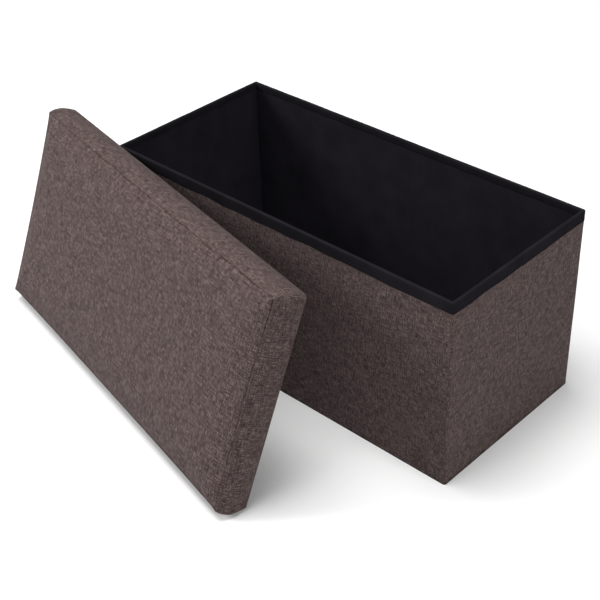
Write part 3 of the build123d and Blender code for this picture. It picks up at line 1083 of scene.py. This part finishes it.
class BENCH_OT_lid_pad(bpy.types.Operator):
    """Filled top panel, band and foam of the lid"""
    bl_idname = "bench.lid_pad"
    bl_label = "Lid Pad"

    def execute(self, context):
        build_lid_covers()
        return {"FINISHED"}


class BENCH_OT_lid_lining(bpy.types.Operator):
    """Black lining of the lid's recess"""
    bl_idname = "bench.lid_lining"
    bl_label = "Lid Lining"

    def execute(self, context):
        build_lid_underside()
        return {"FINISHED"}


class BENCH_OT_stiffeners(bpy.types.Operator):
    """Materials of the boards, rails, staples and bottom cloth that come from the frame"""
    bl_idname = "bench.stiffeners"
    bl_label = "Boards and Staples"

    def execute(self, context):
        slots = {part["node"]: part["material_slot"] for part in frame["record"]["subparts"]}
        kit = cloth_kit()
        for name, node in frame["nodes"].items():
            node.data.materials.clear()
            node.data.materials.append(kit[slots[name]])
        return {"FINISHED"}


class BENCH_OT_stage(bpy.types.Operator):
    """Camera, lights and a pale floor"""
    bl_idname = "bench.stage"
    bl_label = "Stage"

    def execute(self, context):
        stage = context.scene.bench_stage
        add_camera(stage)
        add_lights(stage)
        add_floor()
        return {"FINISHED"}


OPERATORS = (BENCH_OT_stiffeners, BENCH_OT_wall_covers, BENCH_OT_bindings, BENCH_OT_linings,
             BENCH_OT_bottom, BENCH_OT_lid_pad, BENCH_OT_lid_lining, BENCH_OT_stage)


# ---------------------------------------------------------------- stage
def add_camera(stage):
    """Camera at its place: the view direction comes from azimuth and pitch, and the picture
    is rolled about it."""
    turn, tilt, roll = stage.azimuth, stage.pitch, stage.roll
    ahead = np.array([-math.sin(turn) * math.cos(tilt), math.cos(turn) * math.cos(tilt),
                      -math.sin(tilt)])
    level = np.array([math.cos(turn), math.sin(turn), 0.0])
    up = np.cross(level, ahead)
    right = math.cos(roll) * level + math.sin(roll) * up
    data = bpy.data.cameras.new("camera")
    data.lens = stage.lens
    data.sensor_width = 36.0
    data.shift_y = stage.shift_y
    camera = bpy.data.objects.new("camera", data)
    turned = np.stack([right, np.cross(right, ahead), -ahead], axis=1)
    camera.matrix_world = (Matrix.Translation(stage.camera_place)
                           @ Matrix(turned.tolist()).to_4x4())
    bpy.context.scene.collection.objects.link(camera)
    bpy.context.scene.camera = camera


def add_lights(stage):
    """A white sky and three softboxes: a large one above and in front, and one on each side."""
    scene = bpy.context.scene
    scene.view_settings.view_transform = "Standard"
    world = bpy.data.worlds.new("studio")
    world.use_nodes = True
    world.node_tree.nodes["Background"].inputs["Color"].default_value = (1.0, 1.0, 1.0, 1.0)
    world.node_tree.nodes["Background"].inputs["Strength"].default_value = stage.sky
    scene.world = world
    softboxes = (("top_softbox", (-0.5, -0.7, 5.2), stage.top_light, 3.0),
                 ("left_softbox", (-3.8, -3.0, 3.0), stage.left_light, 2.0),
                 ("side_softbox", (4.6, -0.4, 3.0), stage.side_light, 2.8))
    for name, place, power, size in softboxes:
        data = bpy.data.lights.new(name, "AREA")
        data.energy = power
        data.shape = "SQUARE"
        data.size = size
        lamp = bpy.data.objects.new(name, data)
        toward = np.array([-0.1, -0.2, 0.2]) - np.array(place)
        toward /= np.linalg.norm(toward)
        side = np.cross(toward, (0.0, 0.0, 1.0))
        side /= np.linalg.norm(side)
        turned = np.stack([side, np.cross(side, toward), -toward], axis=1)
        lamp.matrix_world = Matrix.Translation(place) @ Matrix(turned.tolist()).to_4x4()
        scene.collection.objects.link(lamp)


def add_floor():
    """A flat pale floor just under the bench."""
    x = np.linspace(-6.0, 6.0, 5)
    plan = np.stack(np.meshgrid(x, x), axis=-1)
    points = np.concatenate([plan, np.full((5, 5, 1), CAD_BOX[0].z)], axis=-1)
    floor = make_object("floor", points.reshape(-1, 3), grid_quads(np.arange(25).reshape(5, 5)))
    material, _, _ = new_material("pale_floor", 0.9, base=(0.80, 0.80, 0.80))
    floor.data.materials.append(material)


# ---------------------------------------------------------------- panel and registration
class BENCH_PT_sidebar(bpy.types.Panel):
    """Settings and steps of the storage bench"""
    bl_idname = "BENCH_PT_sidebar"
    bl_label = "Storage Bench"
    bl_space_type = "VIEW_3D"
    bl_region_type = "UI"
    bl_category = "Bench"

    def draw(self, context):
        for name, group in SETTINGS.items():
            box = self.layout.box()
            box.label(text=group.__doc__)
            for key in group.__annotations__:
                box.prop(getattr(context.scene, name), key)
        for operator in OPERATORS:
            self.layout.operator(operator.bl_idname)


CLASSES = (*SETTINGS.values(), *OPERATORS, BENCH_PT_sidebar)


def register():
    for item in CLASSES:
        bpy.utils.register_class(item)
    for name, group in SETTINGS.items():
        setattr(bpy.types.Scene, name, bpy.props.PointerProperty(type=group))


def unregister():
    for name in SETTINGS:
        delattr(bpy.types.Scene, name)
    for item in reversed(CLASSES):
        bpy.utils.unregister_class(item)


def main():
    """Registers the add-on and runs every step in order."""
    register()
    for operator in OPERATORS:
        space, name = operator.bl_idname.split(".")
        getattr(getattr(bpy.ops, space), name)()


if __name__ == "__main__":
    main()
